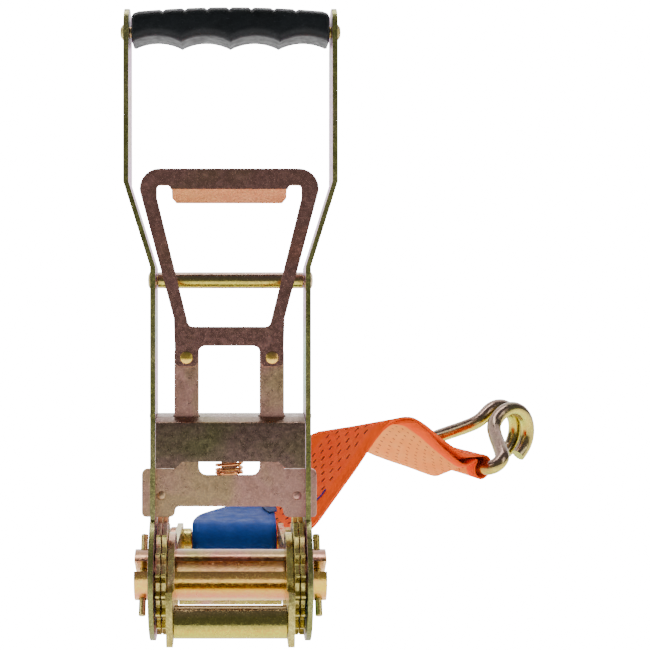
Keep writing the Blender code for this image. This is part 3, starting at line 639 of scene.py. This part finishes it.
sections = strap_edges()
stations = [pair for section in sections for pair in section]
loop = stations[-2:] + stations + stations[:3]  # overlaps itself, so the curve closes smoothly
steps, columns = 5, 10
near_edge = smooth_path([pair[0] for pair in loop], steps)[2 * steps:-2 * steps - 1]
far_edge = smooth_path([pair[1] for pair in loop], steps)[2 * steps:-2 * steps - 1]
mesh, strap_length = ribbon(near_edge, far_edge, columns, closed=True)
strap = piece("webbing_band", mesh, ORANGE, "base", TO_STAND, 60)
strap.data.materials.append(PEACH)
above, round_hook, beneath, _ = (len(section) for section in sections)
reverse_from = (above + round_hook // 2) * steps
reverse_to = (above + round_hook + beneath - 1) * steps
for polygon in strap.data.polygons:
    if reverse_from <= polygon.index // columns < reverse_to:
        polygon.material_index = 1
solidify(strap, LAYER_T)
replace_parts(strap, "webbing_strap")

THREAD_R, STITCH_RISE, STITCH_INSET = 0.5 * MM, 1.1 * MM, 0.17
stitch = []
for k in range(11, 17):
    across = far_edge[k] - near_edge[k]
    above = (near_edge[k + 1] - near_edge[k]).cross(across).normalized() * STITCH_RISE
    stitch.append(near_edge[k] + across * (STITCH_INSET - 0.01 * (k % 2)) + above)
thread = wire_mesh(smooth_path(stitch, 4), THREAD_R, 3)
sewing = piece("webbing_stitch", thread, THREAD, "base", TO_STAND, 60)


# ---- label --------------------------------------------------------------------------------

bend = ANCHOR_R + 5.8 * MM  # the label's radius where it goes round the anchor bolt
arc_rows = [
    (PIN_Y - bend * cos(radians(a)), PIN_Z + bend * sin(radians(a))) for a in (-5, 15, 35, 55, 80)
]
near_edge = [Vector((24.9 * MM, y, z)) for y, z in arc_rows]
far_edge = [Vector((-20.8 * MM, y, z)) for y, z in arc_rows]
near_edge += in_mm((25, 100, -7.2), (25, 115, -9), (24, 130, -11.5), (23, 143, -12.6))
far_edge += in_mm((-20, 100, -7.2), (-17, 115, -9.6), (-9, 129, -11.5), (3, 143, -12.6))
mesh, label_length = ribbon(smooth_path(near_edge, 5), smooth_path(far_edge, 5), 12)
label = piece("label_cloth", mesh, BLUE, "base", TO_STAND, 60)
solidify(label, LABEL_T)
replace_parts(label, "strap_label")
near_edge = in_mm((26.5, 117, -8), (26.5, 124, -9.2), (26, 134, -10.6), (25, 143, -11.4))
far_edge = in_mm((22, 113, -7.9), (19.5, 123, -9), (18, 134, -10.4), (17, 143, -11.2))
mesh, _ = ribbon(smooth_path(near_edge, 4), smooth_path(far_edge, 4), 4)
fold = piece("label_folded_end", mesh, BLUE_FOLD_DARKER, "base", TO_STAND, 60)
solidify(fold, FOLD_T)


# ---- hook ---------------------------------------------------------------------------------


def hook_points():
    """The wire from one claw's tip, down its leg, through the bar and up to the other tip.

    Each side is listed as distances along the bar, up towards the claws, and out of that plane.
    """
    up = (HOOK_UP - HOOK_UP.dot(BAR_AXIS) * BAR_AXIS).normalized()
    out = BAR_AXIS.cross(up)
    claw_r, claw_h, half_bar, half_gap = 18.4 * MM, 43 * MM, 25.8 * MM, 5.8 * MM
    corner = 8 * MM
    side = [(half_gap, claw_h - 3 * MM, 2 * claw_r)]
    for k in range(13):
        turn = pi - pi * k / 12
        side.append((half_gap, claw_h + claw_r * sin(turn), claw_r - claw_r * cos(turn)))
    side += [(half_gap + 1 * MM, claw_h - 6 * MM, 0.0), (half_gap + 5 * MM, claw_h - 12 * MM, 0.0)]
    for k in range(7):
        turn = radians(120 - 20 * k)
        side.append((half_bar + corner * sin(turn), corner - corner * cos(turn), 0.0))
    wire = side + [(-b, h, n) for b, h, n in reversed(side)]
    return [b * BAR_AXIS + h * up + n * out for b, h, n in wire]


wire = wire_mesh(smooth_path(hook_points(), 4), HOOK_WIRE_R, 8)
hook = piece("hook_wire", wire, HOOK, "hook", Matrix.Translation(STAND + HOOK_BAR), 50)
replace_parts(hook, "double_hook")


# ---- table, light and camera --------------------------------------------------------------


def panel(name, place, size, power, target):
    """A soft rectangular light that faces its target."""
    light = bpy.data.lights.new(name, "AREA")
    light.shape = "RECTANGLE"
    light.size, light.size_y = size
    light.energy = power
    lamp = bpy.data.objects.new(name, light)
    lamp.location = place
    lamp.rotation_euler = (Vector(target) - Vector(place)).to_track_quat("-Z", "Y").to_euler()
    bpy.context.scene.collection.objects.link(lamp)


def stage_plane(name, place, turn, size, glow, seen):
    """A glowing white plane that the camera sees, or one unseen that lights the object."""
    bpy.ops.mesh.primitive_plane_add(size=size, location=place, rotation=turn)
    plane = bpy.context.object
    plane.name = name
    paint = Look(name + "_white", 0.0, 0.9)
    whites = [(0.3, (0.88, 0.88, 0.88)), (0.7, (0.9, 0.9, 0.9))]
    paint.put("Base Color", paint.ramp(paint.noise(3, 2), whites))
    paint.put("Emission Color", (1, 1, 1, 1))
    paint.put("Emission Strength", glow)
    plane.data.materials.append(paint.material)
    plane.visible_camera = seen
    plane.visible_diffuse = plane.visible_glossy = not seen
    plane.visible_transmission = plane.visible_shadow = False


WHITE_OUT = 16.0  # glow that shows as pure white
FLAT, STANDING = (0, 0, 0), (pi / 2, 0, 0)
stage_plane("floor", (0, 0, 0), FLAT, 12, WHITE_OUT, True)
for k, place in enumerate(((0, 5, 0), (5, 0, 0), (0, -5, 0), (-5, 0, 0))):
    stage_plane(f"backdrop_{k}", place, (pi / 2, 0, -k * pi / 2), 12, WHITE_OUT, True)
stage_plane("floor_bounce", (0, 0, 0), FLAT, 4, 1.0, False)
stage_plane("backdrop_bounce", (0, 2, 1), STANDING, 5, 1.3, False)

world = bpy.data.worlds.new("studio")
bpy.context.scene.world = world
world.use_nodes = True
background = world.node_tree.nodes["Background"].inputs
background["Color"].default_value = (1, 1, 1, 1)
background["Strength"].default_value = 0.26

panel("top", (-0.1, 0.35, 1.2), (1.0, 0.3), 9, (0, -0.1, 0.05))
panel("left", (-1.0, -0.5, 0.7), (0.3, 0.9), 3.5, (-0.05, -0.1, 0.1))
panel("right", (0.9, -0.6, 0.6), (0.3, 0.9), 3.5, (-0.05, -0.1, 0.1))

camera = bpy.data.cameras.new("camera")
camera.sensor_width = 36
camera.lens = 69.8
camera.shift_x = 0.1454
viewer = bpy.data.objects.new("camera", camera)
before_handle = Matrix.Translation((0, -0.6, 0.1188))  # 600 mm in front, square to the leaning handle
viewer.matrix_world = RATCHET @ before_handle @ Matrix.Rotation(pi / 2, 4, "X")
bpy.context.scene.collection.objects.link(viewer)
bpy.context.scene.camera = viewer
